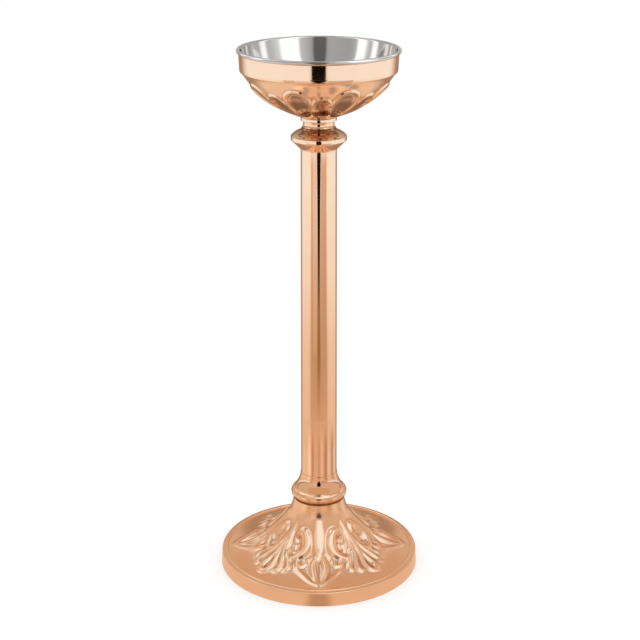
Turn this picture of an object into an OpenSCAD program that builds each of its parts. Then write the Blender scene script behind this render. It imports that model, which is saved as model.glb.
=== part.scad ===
// Floor-standing holy water stoup. A ballasted bell base, a collar, a tube, a knop and a neck
// stand on one centre line, and a single tie rod draws them together under the bowl. A steel
// liner with a rolled lip holds the water and lifts straight out of the bowl.
// Millimetres. Z is up, and the origin is on the floor under the centre of the base.

/* [Base shell] */
// Diameter of the foot at the floor
base_d = 359; // [320:1:400]
// Height of the shell from its bottom edge to the top of its throat
base_h = 127; // [110:1:150]
// Diameter of the throat under the collar
throat_d = 92; // [90:1:110]
// Thickness of the sheet
shell_t = 1.5; // [1:0.1:2.5]
// Gap that keeps the bottom edge off the floor
rim_lift = 1; // [0.5:0.5:2]
// Height of the upright band round the foot
rim_h = 24.5; // [20:0.5:32]
// How far the band leans in from bottom to top
rim_draft = 1.5; // [0.5:0.5:4]
// Radius of the rounded edge on top of the band
rim_edge_r = 2; // [1:0.5:3]
// Width of the flat step between the band and the ring bead
step_w = 4; // [3:0.5:8]
// Width of the ring bead
ring_w = 5; // [4:0.5:8]
// Height of the ring bead
ring_h = 2.5; // [1:0.5:4]

/* [Embossed leaves] */
// Height of the leaves over the plain sheet
leaf_h = 4; // [2:0.5:6]
// Number of fleurons, with as many acanthus leaves between them
fleuron_count = 4; // [3:1:6]
// Gap between the throat and the start of the leaves
leaf_throat_gap = 8; // [6:1:16]
// Gap between the fleurons' tips and the ring bead
leaf_ring_gap = 8; // [4:1:30]

/* [Ballast and underside] */
// Thickness of the felt disc
felt_t = 3; // [3:0.5:6]
// Thickness of the closing plate
plate_t = 1.5; // [1:0.1:3]
// Diameter of the hole that a box spanner goes through
access_d = 48; // [44:1:60]
// Side clearance between the ballast and the band
ballast_gap = 2; // [1:0.5:5]
// How far the ballast web lies below the land that carries the shell
web_drop = 7.5; // [3:0.5:9]
// Thickness of the hub over the nut
hub_t = 12; // [8:1:20]
// Outer diameter of the hub
hub_d = 90; // [80:1:110]
// Diameter of the circle of plate screws
screw_circle_d = 220; // [180:1:280]
// Number of plate screws
screw_count = 4; // [3:1:8]
// Length of a plate screw under its head
screw_len = 10; // [8:1:12]
// Diameter of a plate screw
screw_d = 5; // [4:0.5:6]
// Diameter of a plate screw's head
screw_head_d = 9.5; // [8:0.5:12]
// Height of a plate screw's head
screw_head_h = 2.2; // [1.5:0.1:2.5]

/* [Tie rod] */
// Diameter of the tie rod
rod_d = 10; // [8:1:12]
// How far the rod stands out of each nut
rod_out = 2.5; // [1.5:0.5:5]
// Width of a nut across its flats
nut_af = 17; // [16:1:22]
// Height of a nut
nut_h = 8; // [6:0.5:12]
// Diameter of a flat washer
washer_d = 34; // [26:1:40]
// Thickness of a flat washer
washer_t = 2.5; // [1.5:0.5:4]
// Outer diameter of a spring washer
spring_d = 18; // [17:0.5:22]
// Thickness of a spring washer
spring_t = 2.2; // [1.5:0.1:3]

/* [Collar] */
// Diameter of the collar over its bead
collar_d = 100.4; // [92:0.2:120]
// Height of the collar
collar_h = 50; // [40:1:60]
// Height of the bead
collar_bead_h = 19; // [12:1:22]
// Height of the groove between the throat and the bead
groove_h = 1; // [0.5:0.5:4]
// Thickness of the floor that the tube stands on
collar_floor_t = 6; // [4:0.5:10]
// Wall of the collar round the top of the socket
collar_lip = 0.8; // [0.6:0.1:2]

/* [Stem tube] */
// Outer diameter of the tube
stem_d = 64.5; // [56:0.5:70]
// Wall of the tube
stem_t = 1.5; // [1:0.1:3]
// Length of the tube
stem_len = 637; // [400:1:900]
// Depth of a centring plug inside the tube
plug_h = 15; // [8:1:30]
// Diameter of the spigot on each plug
spigot_d = 30; // [22:1:40]
// Length of the spigot beyond the floor or flange it passes through
spigot_over = 1; // [0.5:0.5:4]

/* [Knop] */
// Diameter of the knop over its ridge
knop_d = 94.8; // [84:0.2:110]
// Height of the knop
knop_h = 38.5; // [32:0.5:50]
// Height of the ridge's flat band
ridge_h = 6; // [3:0.5:10]
// Height of the ridge's middle above the foot of the knop
ridge_z = 20; // [17:0.5:24]
// Wall of the knop
knop_t = 3.5; // [2.5:0.5:5]
// How far the knop's foot stands out past the tube
knop_foot = 0.8; // [0.4:0.1:2]

/* [Neck] */
// Height of the neck
neck_h = 17; // [14:0.5:30]
// Diameter of the neck at its waist
neck_d = 52; // [46:1:56]
// Diameter of the flange under the bowl
neck_flange_d = 61; // [58:1:80]
// Thickness of the flange under the bowl
neck_flange_t = 6; // [3:0.5:8]
// Diameter of the bore that lightens the neck
neck_core_d = 36; // [24:1:40]

/* [Bowl] */
// Diameter of the bowl at its rim
bowl_d = 265.4; // [240:0.2:300]
// Height of the bowl from its seat to its rim
bowl_h = 106.2; // [96:0.2:125]
// Height of the plain band under the rim
band_h = 30; // [18:1:36]
// How far the band leans out from bottom to top
band_flare = 1.4; // [0.4:0.2:3]
// How far the crease is set in under the band
crease_in = 1.7; // [0.5:0.1:2.5]
// Thickness of the sheet
bowl_t = 1.2; // [0.8:0.1:2]

/* [Liner] */
// How far the rolled lip stands out past the bowl's rim
lip_over = 3.7; // [2.8:0.1:5]
// Height of the rolled lip
lip_h = 7; // [6:0.2:9]
// Thickness of the sheet
liner_t = 0.8; // [0.6:0.1:1.2]
// Side clearance between the liner and the bowl
liner_gap = 3; // [2:0.5:5]
// Clearance between the liner's floor and the end of the tie rod
liner_floor_gap = 5; // [2:0.5:12]
// Radius where the liner's flat floor turns up into its wall
floor_turn = 4; // [2:0.5:8]
// Clearance between the rolled lip and the rim it rests on
lip_gap = 0.3; // [0.2:0.1:0.5]

/* [Fits] */
// Radial clearance of a turned part in its socket
fit_gap = 0.05; // [0.02:0.01:0.1]
// Radial clearance of a part that the rod or a screw passes through
free_gap = 0.3; // [0.2:0.1:0.8]

/* [Hidden] */
$fn = 96;

BRASS = "#E3A878";
STEEL = "#A9ABAF";
IRON = "#45474A";
FELT = "#2F4A38";
ALLOY = "#BFC2C4";
LINER = "#CDD0D4";

curve_steps = 18;
small_curve_steps = 8;
leaf_steps = 9;
arc_steps = 10;
bore_r = rod_d / 2 + free_gap;
chamfer = 1;
edge_break = 0.5;
foot_flare = 1.5;

// Radii of the base
base_r = base_d / 2;
throat_r = throat_d / 2;
throat_edge_r = 1;
band_top_r = base_r - rim_draft;
ring_r = band_top_r - rim_edge_r - step_w - ring_w / 2;
disc_r = ring_r - ring_w / 2;
leaf_start_r = throat_r + leaf_throat_gap;
leaf_tip_r = disc_r - leaf_ring_gap;
weight_r = band_top_r - shell_t - ballast_gap;
spigot_hole_r = spigot_d / 2 + fit_gap;

// Levels up the centre line
plate_z = felt_t;
weight_z = plate_z + plate_t;
rim_z = rim_lift + rim_h;
land_z = rim_z - shell_t;
throat_z = rim_lift + base_h;
socket_z = throat_z + collar_floor_t;
knop_z = socket_z + stem_len;
neck_z = knop_z + knop_h;
seat_z = neck_z + neck_h;
bowl_rim_z = seat_z + bowl_h;
lip_top_z = bowl_rim_z + lip_gap + lip_h;

// Fasteners under the hub and over the bowl's seat
rod_bottom_z = weight_z + chamfer;
base_nut_z = rod_bottom_z + rod_out;
base_spring_z = base_nut_z + nut_h;
base_washer_z = base_spring_z + spring_t;
hub_z = base_washer_z + washer_t;
bowl_washer_z = seat_z + bowl_t;
bowl_spring_z = bowl_washer_z + washer_t;
bowl_nut_z = bowl_spring_z + spring_t;
rod_top_z = bowl_nut_z + nut_h + rod_out;
liner_floor_z = rod_top_z + liner_floor_gap + liner_t;

// Bell outline: how far its two curve handles reach across and up the bell
bell_handle_low = [0.41, 0.061];
bell_handle_high = [0.05, 0.53];
// Leaf outlines seen from above, as shares of the angle between two leaves and of the way from
// the leaves' start to the fleurons' tips. The fleuron and the acanthus are one half each, and
// a scroll stands on each side of a fleuron. All of them run clockwise.
FLEURON = [
    [0.18, 0], [0.18, 0.24], [0.12, 0.38], [0.25, 0.47],
    [0.49, 0.5], [0.47, 0.62], [0.2, 0.79], [0, 1]
];
ACANTHUS = [
    [0.09, 0], [0.15, 0.25], [0.22, 0.42], [0.44, 0.58], [0.42, 0.66],
    [0.29, 0.64], [0.28, 0.76], [0.17, 0.83], [0, 0.91]
];
SCROLL = [
    [0.69, 0.14], [0.5, 0.19], [0.49, 0.32], [0.63, 0.45], [0.71, 0.55], [0.6, 0.59],
    [0.53, 0.49], [0.31, 0.36], [0.27, 0.25], [0.32, 0.12], [0.51, 0.04], [0.71, 0.06]
];
leaf_pitch = 180 / fleuron_count;
// Collar outline: how far its two curve handles reach across and up its upper part
collar_handle_low = [0.61, 0.28];
collar_handle_high = [0.01, 0.51];
// Bowl outline: how far its two curve handles reach across and up the bowl's body
bowl_handle_low = [0.75, 0.35];
bowl_handle_high = [0.86, 0.8];

// A cubic curve from a to d, with handles b and c.
function curve(a, b, c, d, n = curve_steps) = [
    for (i = [0 : n])
        let (t = i / n, s = 1 - t)
            s * s * s * a + 3 * s * s * t * b + 3 * s * t * t * c + t * t * t * d
];

// An arc about [x, y] from angle a0 to a1.
function arc(x, y, r, a0, a1, n = arc_steps) = [
    for (i = [0 : n])
        let (a = a0 + (a1 - a0) * i / n)
            [x + r * cos(a), y + r * sin(a)]
];

// A place inside the box between two corners, given as shares of its width and height.
function within(low, high, share) = [
    low[0] + (high[0] - low[0]) * share[0],
    low[1] + (high[1] - low[1]) * share[1]
];

function unit(v) = v / norm(v);
function left(v) = [-v[1], v[0]];

// The path moved to its left by t, with mitred corners.
function shifted(path, t) = [
    for (i = [0 : len(path) - 1])
        let (
            before = left(unit(path[max(i, 1)] - path[max(i, 1) - 1])),
            after_i = min(i, len(path) - 2),
            after = left(unit(path[after_i + 1] - path[after_i])),
            middle = unit(before + after)
        )
            path[i] + middle * t / (middle * before)
];

// A closed path that runs clockwise, moved inwards by t, with mitred corners.
function inset(loop, t) = let (n = len(loop)) [
    for (i = [0 : n - 1])
        let (
            before = left(unit(loop[i] - loop[(i + n - 1) % n])),
            after = left(unit(loop[(i + 1) % n] - loop[i])),
            middle = unit(before + after)
        )
            loop[i] - middle * t / (middle * before)
];

function reversed(list) = [for (i = [len(list) - 1 : -1 : 0]) list[i]];

// Sheet of thickness t turned about Z, with the path as its outer side.
module spun_sheet(path, t) {
    rotate_extrude()
        polygon(concat(path, reversed(shifted(path, t))));
}

// Washer or disc with a bore.
module ring(r_out, r_in, h) {
    difference() {
        cylinder(r = r_out, h = h);
        translate([0, 0, -1])
            cylinder(r = r_in, h = h + 2);
    }
}

module around(count) {
    for (i = [0 : count - 1])
        rotate(i * 360 / count)
            children();
}

// Hexagon nut with chamfered corners.
module nut() {
    corner_r = nut_af / 2 / cos(30);
    crown = corner_r - nut_af / 2;
    difference() {
        intersection() {
            cylinder(r = corner_r, h = nut_h, $fn = 6);
            rotate_extrude()
                polygon([
                    [0, 0],
                    [nut_af / 2, 0],
                    [corner_r + 0.1, crown],
                    [corner_r + 0.1, nut_h - crown],
                    [nut_af / 2, nut_h],
                    [0, nut_h]
                ]);
        }
        translate([0, 0, -1])
            cylinder(r = rod_d / 2 + fit_gap, h = nut_h + 2);
    }
}

// Spring washer, split at one side.
module spring_washer() {
    slit = 1.5;
    difference() {
        ring(spring_d / 2, bore_r, spring_t);
        translate([0, -slit / 2, -1])
            cube([spring_d, slit, spring_t + 2]);
    }
}

// Base ------------------------------------------------------------------------------------

// The bell curve from the ring bead up to the throat.
function bell_curve(steps) = curve(
    [disc_r, rim_z],
    within([throat_r, rim_z], [disc_r, throat_z], bell_handle_low),
    within([throat_r, rim_z], [disc_r, throat_z], bell_handle_high),
    [throat_r, throat_z - throat_edge_r],
    steps
);

// Outside of the shell from the bottom edge up to the top of the throat. The inner side of the
// sheet follows it without the ring bead and with a plain corner at the throat.
function bell_outline(outer) = concat(
    [[base_r, rim_lift]],
    arc(band_top_r - rim_edge_r, rim_z - rim_edge_r, rim_edge_r, 0, 90, 4),
    outer ? [for (p = arc(0, 0, 1, 0, 180)) [ring_r + p[0] * ring_w / 2, rim_z + p[1] * ring_h]] : [],
    bell_curve(curve_steps),
    outer
        ? arc(throat_r - throat_edge_r, throat_z - throat_edge_r, throat_edge_r, 20, 90, 5)
        : [[throat_r, throat_z]],
    [[spigot_hole_r, throat_z]]
);

function leaf_point(share) = let (
    a = share[0] * leaf_pitch,
    r = leaf_start_r + share[1] * (leaf_tip_r - leaf_start_r)
) [r * sin(a), -r * cos(a)];

// Both halves of a leaf's outline, from its start round its tip and back.
function whole(half) = concat(half, [for (p = reversed(half)) if (p[0] > 0) [-p[0], p[1]]]);

module leaf_plan(outline, in_by) {
    polygon(inset([for (share = outline) leaf_point(share)], in_by));
}

module leaf_plans(in_by) {
    around(fleuron_count) {
        leaf_plan(whole(FLEURON), in_by);
        rotate(leaf_pitch)
            leaf_plan(whole(ACANTHUS), in_by);
        for (side = [0, 1])
            mirror([side, 0])
                leaf_plan(SCROLL, in_by);
    }
}

// What stands over the leaves' plans, from a depth under the bell's outside to a height over it.
module leaves(height, depth, in_by) {
    path = bell_curve(leaf_steps);
    intersection() {
        linear_extrude(height = throat_z)
            leaf_plans(in_by);
        rotate_extrude()
            polygon(concat(shifted(path, -height), reversed(shifted(path, depth))));
    }
}

// The sheet is pressed, so each leaf is hollow from below.
module base_shell() {
    color(BRASS)
        difference() {
            union() {
                rotate_extrude()
                    polygon(concat(bell_outline(true), reversed(shifted(bell_outline(false), shell_t))));
                leaves(leaf_h, shell_t / 2, 0);
            }
            leaves(leaf_h - shell_t, shell_t * 2, shell_t);
        }
}

module at_screws() {
    around(screw_count)
        translate([screw_circle_d / 2, 0, plate_z])
            children();
}

module felt_disc() {
    head_gap = 1.5;
    color(FELT)
        difference() {
            ring(weight_r, access_d / 2, felt_t);
            at_screws()
                translate([0, 0, -felt_t - 1])
                    cylinder(r = screw_head_d / 2 + head_gap, h = felt_t + 2);
        }
}

module base_plate() {
    color(STEEL)
        difference() {
            translate([0, 0, plate_z])
                ring(weight_r, access_d / 2, plate_t);
            at_screws()
                translate([0, 0, -1])
                    cylinder(r = screw_d / 2 + free_gap, h = plate_t + 2);
        }
}

// Pan-head screws with a driver slot, driven up through the plate into the ballast.
module base_plate_screws() {
    slot_w = 1.2;
    slot_depth = screw_head_h / 2;
    color(STEEL)
        at_screws()
            difference() {
                union() {
                    cylinder(r = screw_d / 2, h = screw_len);
                    translate([0, 0, -screw_head_h])
                        cylinder(r = screw_head_d / 2, h = screw_head_h);
                }
                translate([-screw_head_d, -slot_w / 2, -screw_head_h - 1])
                    cube([screw_head_d * 2, slot_w, slot_depth + 1]);
            }
}

// Cast ring whose raised land carries the shell, with a hub over the nut.
module base_weight() {
    land_out_r = weight_r - rim_edge_r;
    land_in_r = disc_r + 0.5;
    web_z = land_z - web_drop;
    drill_over = 1;
    hole_depth = screw_len - plate_t + drill_over;
    color(IRON)
        difference() {
            rotate_extrude()
                polygon([
                    [access_d / 2, weight_z],
                    [weight_r, weight_z],
                    [weight_r, land_z - rim_edge_r],
                    [land_out_r, land_z],
                    [land_in_r, land_z],
                    [land_in_r - web_drop, web_z],
                    [hub_d / 2, web_z],
                    [hub_d / 2 - web_drop, hub_z + hub_t],
                    [bore_r, hub_z + hub_t],
                    [bore_r, hub_z],
                    [access_d / 2, hub_z]
                ]);
            at_screws()
                translate([0, 0, plate_t - 1])
                    cylinder(r = screw_d / 2 + fit_gap, h = hole_depth + 1);
        }
}

// Tie rod and its fasteners ---------------------------------------------------------------

module tie_rod() {
    r = rod_d / 2;
    color(STEEL)
        rotate_extrude()
            polygon([
                [0, rod_bottom_z],
                [r - chamfer, rod_bottom_z],
                [r, rod_bottom_z + chamfer],
                [r, rod_top_z - chamfer],
                [r - chamfer, rod_top_z],
                [0, rod_top_z]
            ]);
}

module base_nut() {
    color(STEEL)
        translate([0, 0, base_nut_z])
            nut();
}

module base_spring_washer() {
    color(STEEL)
        translate([0, 0, base_spring_z])
            spring_washer();
}

module base_washer() {
    color(STEEL)
        translate([0, 0, base_washer_z])
            ring(washer_d / 2, bore_r, washer_t);
}

module bowl_washer() {
    color(STEEL)
        translate([0, 0, bowl_washer_z])
            ring(washer_d / 2, bore_r, washer_t);
}

module bowl_spring_washer() {
    color(STEEL)
        translate([0, 0, bowl_spring_z])
            spring_washer();
}

module bowl_nut() {
    color(STEEL)
        translate([0, 0, bowl_nut_z])
            nut();
}

// Stem ------------------------------------------------------------------------------------

// Turned collar: a shadow groove, a half-round bead and a hollow that runs up to the tube.
module lower_collar() {
    bead_r = collar_bead_h / 2;
    bead_x = collar_d / 2 - bead_r;
    bead_z = throat_z + groove_h + bead_r;
    bead_start = -65;
    bead_end = 72;
    groove_r = bead_x + bead_r * 0.4;
    top_z = throat_z + collar_h;
    socket_r = stem_d / 2 + fit_gap;
    shoulder = arc(bead_x, bead_z, bead_r, bead_start, bead_end);
    shoulder_end = shoulder[len(shoulder) - 1];
    hollow_start = shoulder_end + [0, edge_break];
    hollow_end = [socket_r + collar_lip, top_z];
    hollow_low = [hollow_end[0], hollow_start[1]];
    hollow_high = [hollow_start[0], hollow_end[1]];
    color(BRASS)
        rotate_extrude()
            polygon(concat(
                [[spigot_hole_r, throat_z], [groove_r, throat_z]],
                shoulder,
                curve(
                    hollow_start,
                    within(hollow_low, hollow_high, collar_handle_low),
                    within(hollow_low, hollow_high, collar_handle_high),
                    hollow_end
                ),
                [[socket_r, top_z], [socket_r, socket_z], [spigot_hole_r, socket_z]]
            ));
}

module stem_tube() {
    color(BRASS)
        translate([0, 0, socket_z])
            ring(stem_d / 2, stem_d / 2 - stem_t, stem_len);
}

// Turned plug that fits the tube, with a spigot out of its lower face.
module plug(spigot_len) {
    difference() {
        union() {
            cylinder(r = stem_d / 2 - stem_t - fit_gap, h = plug_h);
            translate([0, 0, -spigot_len])
                cylinder(r = spigot_d / 2, h = spigot_len + 1);
        }
        translate([0, 0, -spigot_len - 1])
            cylinder(r = bore_r, h = plug_h + spigot_len + 2);
    }
}

module stem_lower_plug() {
    color(ALLOY)
        translate([0, 0, socket_z])
            plug(collar_floor_t + shell_t + spigot_over);
}

module stem_upper_plug() {
    color(ALLOY)
        translate([0, 0, knop_z])
            mirror([0, 0, 1])
                plug(knop_t + spigot_over);
}

// Hollow cast knop: a cone up to the ridge band, and a hollowed slope from it up to the neck.
module upper_knop() {
    foot_r = stem_d / 2 + knop_foot;
    foot_h = 1.5;
    edge = 1;
    ridge_r = knop_d / 2;
    low_z = knop_z + ridge_z - ridge_h / 2;
    high_z = knop_z + ridge_z + ridge_h / 2;
    top_r = neck_d / 2 + foot_flare + 1;
    ridge_top = [ridge_r - edge, high_z + edge];
    top = [top_r, neck_z - edge_break];
    slope = curve(
        ridge_top,
        within(top, ridge_top, [0.6, 0.65]),
        within(top, ridge_top, [0.17, 0.43]),
        top,
        small_curve_steps
    );
    cone_in = knop_t / cos(45);
    color(BRASS)
        rotate_extrude()
            polygon(concat(
                [
                    [spigot_hole_r, knop_z],
                    [foot_r, knop_z],
                    [foot_r, knop_z + foot_h],
                    [ridge_r - edge, low_z - edge],
                    [ridge_r, low_z],
                    [ridge_r, high_z]
                ],
                slope,
                [
                    [top_r - edge_break, neck_z],
                    [bore_r, neck_z],
                    [bore_r, neck_z - knop_t],
                    [top_r - knop_t, neck_z - knop_t],
                    [ridge_r - edge - cone_in, high_z - edge],
                    [ridge_r - edge - cone_in, low_z + edge],
                    [foot_r - cone_in, knop_z + knop_t],
                    [spigot_hole_r, knop_z + knop_t]
                ]
            ));
}

// Turned neck: a hollowed waist under the flange that the bowl sits on, bored out from below.
module neck_spool() {
    waist_r = neck_d / 2;
    flange_r = neck_flange_d / 2;
    foot_r = waist_r + foot_flare;
    top_r = waist_r + foot_flare * 0.65;
    waist_h = neck_h - neck_flange_t;
    web_t = 4;
    color(BRASS)
        rotate_extrude()
            polygon(concat(
                [[neck_core_d / 2, neck_z], [foot_r, neck_z]],
                curve(
                    [foot_r, neck_z + edge_break],
                    [waist_r, neck_z + waist_h * 0.4],
                    [waist_r, neck_z + waist_h * 0.6],
                    [top_r, neck_z + waist_h],
                    small_curve_steps
                ),
                [
                    [flange_r - edge_break, neck_z + waist_h],
                    [flange_r, neck_z + waist_h + edge_break],
                    [flange_r, seat_z],
                    [bore_r, seat_z],
                    [bore_r, seat_z - web_t],
                    [neck_core_d / 2, seat_z - web_t]
                ]
            ));
}

// Bowl ------------------------------------------------------------------------------------

seat_r = neck_flange_d / 2 + edge_break;
crease_r = bowl_d / 2 - band_flare - crease_in;
crease_h = 1.5;
crease = [crease_r, bowl_rim_z - band_h];

// Outside of the bowl from the edge of its seat up to the crease.
function bowl_body() = curve(
    [seat_r, seat_z + edge_break],
    within([seat_r, seat_z], crease, bowl_handle_low),
    within([seat_r, seat_z], crease, bowl_handle_high),
    crease
);

// Outside of the plain band, from just above the crease up to the rim.
function bowl_band() = [
    [crease_r + crease_in, crease[1] + crease_h],
    [bowl_d / 2, bowl_rim_z]
];

module bowl_shell() {
    color(BRASS)
        spun_sheet(concat(
            [[bore_r, seat_z], [seat_r - edge_break, seat_z]],
            bowl_body(),
            bowl_band()
        ), bowl_t);
}

// Water side of the liner: a flat floor, a wall that follows the bowl, and a lip rolled
// outwards and down over the rim.
function liner_inside() = let (
    roll_r = lip_h / 2,
    roll_x = bowl_d / 2 + lip_over - roll_r,
    roll_z = lip_top_z - roll_r,
    in_by = bowl_t + liner_gap + liner_t,
    wall = [for (p = shifted(bowl_body(), in_by)) if (p[1] > liner_floor_z + 1) p]
) concat(
    [[0, liner_floor_z], [wall[0][0] - floor_turn, liner_floor_z]],
    wall,
    arc(roll_x, roll_z, roll_r, 180, -105, 2 * arc_steps)
);

module bowl_liner() {
    color(LINER)
        spun_sheet(liner_inside(), -liner_t);
}

felt_disc();
base_plate();
base_plate_screws();
base_weight();
base_shell();
base_nut();
base_spring_washer();
base_washer();
tie_rod();
lower_collar();
stem_lower_plug();
stem_tube();
stem_upper_plug();
upper_knop();
neck_spool();
bowl_shell();
bowl_washer();
bowl_spring_washer();
bowl_nut();
bowl_liner();
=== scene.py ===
# %% [markdown]
# # A holy water stoup in rose brass
#
# The stoup is a floor stand: an embossed bell base, a turned collar, a drawn tube, a knop, a
# short neck and a lobed bowl with a steel liner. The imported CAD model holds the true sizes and
# the hidden parts. This lesson gives each visible piece its surface: turned profiles, embossed
# leaves as real relief, mirror-polished brass, and a studio for the brass to reflect.

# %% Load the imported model
import math
from collections import namedtuple

import bmesh
import bpy
import numpy as np
from mathutils import Matrix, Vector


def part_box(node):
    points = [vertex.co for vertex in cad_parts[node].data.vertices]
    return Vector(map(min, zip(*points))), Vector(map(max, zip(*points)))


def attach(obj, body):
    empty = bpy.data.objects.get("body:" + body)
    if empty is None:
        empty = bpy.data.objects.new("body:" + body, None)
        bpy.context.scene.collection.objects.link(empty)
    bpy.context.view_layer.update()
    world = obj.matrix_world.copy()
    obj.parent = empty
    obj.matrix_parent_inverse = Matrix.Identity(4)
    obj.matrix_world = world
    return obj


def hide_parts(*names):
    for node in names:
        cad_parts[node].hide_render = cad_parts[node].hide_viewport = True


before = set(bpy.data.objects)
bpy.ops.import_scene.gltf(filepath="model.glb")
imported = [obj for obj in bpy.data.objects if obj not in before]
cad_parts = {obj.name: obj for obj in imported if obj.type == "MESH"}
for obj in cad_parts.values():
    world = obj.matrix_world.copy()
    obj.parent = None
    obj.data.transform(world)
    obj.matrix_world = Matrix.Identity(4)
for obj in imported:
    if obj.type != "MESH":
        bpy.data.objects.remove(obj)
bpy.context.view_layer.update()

# %% [markdown]
# ## Turned shapes
#
# Nearly every piece of a stand like this is spun or turned, so its whole shape is one outline
# swung round the centre line. An outline is a list of (radius, height) points in millimetres,
# built from arcs and cubic curves. bmesh's spin operator swings it, and the two ends are merged.

# %% Outlines in millimetres
MM = 0.001
SPIGOT_HOLE = 15.1  # radius of the holes round the plugs' spigots
ROD_HOLE = 5.3      # radius of the holes round the tie rod
CURVE_STEPS = 200   # points of a long curve before they are evenly spaced


def cubic(a, b, c, d, steps):
    """Points on a cubic curve from a to d with handles b and c."""
    t = np.linspace(0, 1, steps + 1)[:, None]
    a, b, c, d = (np.array(p, float) for p in (a, b, c, d))
    return (1 - t) ** 3 * a + 3 * (1 - t) ** 2 * t * b + 3 * (1 - t) * t ** 2 * c + t ** 3 * d


def arc(centre, radius, start, end, steps):
    """Points on an arc, with its angles in degrees."""
    a = np.radians(np.linspace(start, end, steps + 1))
    return np.column_stack([centre[0] + radius * np.cos(a), centre[1] + radius * np.sin(a)])


def length_along(path):
    """The distance along the path at each of its points."""
    return np.r_[0, np.cumsum(np.hypot(*np.diff(path, axis=0).T))]


def evenly(path, steps):
    """The same path with its points evenly spaced."""
    path = np.array(path, float)
    at = length_along(path)
    wanted = np.linspace(0, at[-1], steps + 1)
    return np.column_stack([np.interp(wanted, at, path[:, 0]), np.interp(wanted, at, path[:, 1])])


def set_in(path, by):
    """The path moved sideways, to the left of its direction."""
    path = np.array(path, float)
    step = np.gradient(path, axis=0)
    step /= np.linalg.norm(step, axis=1)[:, None]
    return path + by * np.column_stack([-step[:, 1], step[:, 0]])


quarter = arc((0, 0), 1, 0, 90, 20)
print("a quarter circle of radius 1 is", round(length_along(quarter)[-1], 3), "long")

# %% Swing an outline round the centre line
WELD = 1e-6  # metres within which points are merged


def swing(outline, turns, closed=True, mark=None, wedges=1):
    """The outline spun about Z, by a full turn or one wedge of it.

    mark has a number for each point of the outline, which is kept on the points it is spun into.
    """
    bm = bmesh.new()
    layer = bm.verts.layers.float.new("outline") if mark is not None else None
    points = [bm.verts.new((r * MM, 0, z * MM)) for r, z in outline]
    if layer is not None:
        for point, value in zip(points, mark):
            point[layer] = value
    ends = points[1:] + points[:1] if closed else points[1:]
    lines = [bm.edges.new(pair) for pair in zip(points, ends)]
    bmesh.ops.spin(bm, geom=points + lines, cent=(0, 0, 0), axis=(0, 0, 1),
                   angle=math.tau / wedges, steps=turns // wedges, use_merge=wedges == 1)
    if wedges == 1:
        bmesh.ops.remove_doubles(bm, verts=bm.verts, dist=WELD)
        bmesh.ops.recalc_face_normals(bm, faces=bm.faces)
    return bm


trial = swing([(10, 0), (12, 0), (12, 3)], 24)
print("a ring from 3 points in 24 steps has", len(trial.verts), "points")
trial.free()


# %% Complete a wedge
def complete(bm, copies, turn_by=0.0):
    """Mirrors a wedge, sets copies of it round the centre line and joins them."""
    bmesh.ops.mirror(bm, geom=bm.verts[:] + bm.edges[:] + bm.faces[:], merge_dist=WELD, axis="Y")
    pair = bm.verts[:] + bm.edges[:] + bm.faces[:]
    for index in range(1, copies):
        new = bmesh.ops.duplicate(bm, geom=pair)["geom"]
        turned = Matrix.Rotation(math.tau * index / copies, 3, "Z")
        bmesh.ops.rotate(bm, cent=(0, 0, 0), matrix=turned,
                         verts=[item for item in new if isinstance(item, bmesh.types.BMVert)])
    bmesh.ops.remove_doubles(bm, verts=bm.verts, dist=2 * WELD)
    turned = Matrix.Rotation(math.radians(turn_by), 3, "Z")
    bmesh.ops.rotate(bm, cent=(0, 0, 0), matrix=turned, verts=bm.verts)
    bmesh.ops.recalc_face_normals(bm, faces=bm.faces)


# %% Put a finished mesh in the scene
SHARP_ABOVE = 40  # degrees between two faces
print("edges of more than", SHARP_ABOVE, "degrees stay sharp")


def in_scene(name, bm, material):
    """Turns a bmesh into an object of the scene."""
    mesh = bpy.data.meshes.new(name)
    bm.to_mesh(mesh)
    bm.free()
    mesh.materials.append(material)
    piece = bpy.data.objects.new(name, mesh)
    bpy.context.scene.collection.objects.link(piece)
    return piece


def place(name, bm, body, material, slot, *nodes):
    """Makes a smooth piece that rides on a body and stands for CAD nodes."""
    piece = in_scene(name, bm, material)
    mesh = piece.data
    mesh.shade_smooth()
    mesh.set_sharp_from_angle(angle=math.radians(SHARP_ABOVE))
    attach(piece, body)
    if nodes:
        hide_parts(*nodes)
    points = np.empty(len(mesh.vertices) * 3, np.float32)
    mesh.vertices.foreach_get("co", points)
    low, high = points.reshape(-1, 3).min(0), points.reshape(-1, 3).max(0)
    mesh.calc_loop_triangles()
    print(f"{name}: {len(mesh.loop_triangles)} triangles, "
          f"z {low[2] / MM:.1f} to {high[2] / MM:.1f} mm, radius {high[0] / MM:.1f} mm")


# %% [markdown]
# ## Nodes without the clutter
#
# Materials here are node trees written in code. A few small helpers keep them readable: one adds
# any node and sets its inputs, and the others add the kinds that are used most.

# %% Node helpers
NOISE_SPAN = (0.3, 0.7)


def add(tree, kind, inputs=None, **settings):
    """A node with its settings and inputs. An input is a value or another node's output."""
    node = tree.nodes.new(kind)
    for key, value in settings.items():
        setattr(node, key, value)
    for key, value in (inputs or {}).items():
        if isinstance(value, bpy.types.NodeSocket):
            tree.links.new(value, node.inputs[key])
        else:
            node.inputs[key].default_value = value
    return node


def calc(tree, operation, a, b=0.0, c=0.0):
    """The result of a Math node."""
    return add(tree, "ShaderNodeMath", {0: a, 1: b, 2: c}, operation=operation).outputs[0]


def ramp(tree, value, low, high, to_low=0.0, to_high=1.0, shape="SMOOTHSTEP"):
    """Goes from to_low to to_high while value goes from low to high."""
    node = add(tree, "ShaderNodeMapRange",
               {"Value": value, "From Min": low, "From Max": high, "To Min": to_low,
                "To Max": to_high}, interpolation_type=shape)
    return node.outputs["Result"]


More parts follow.
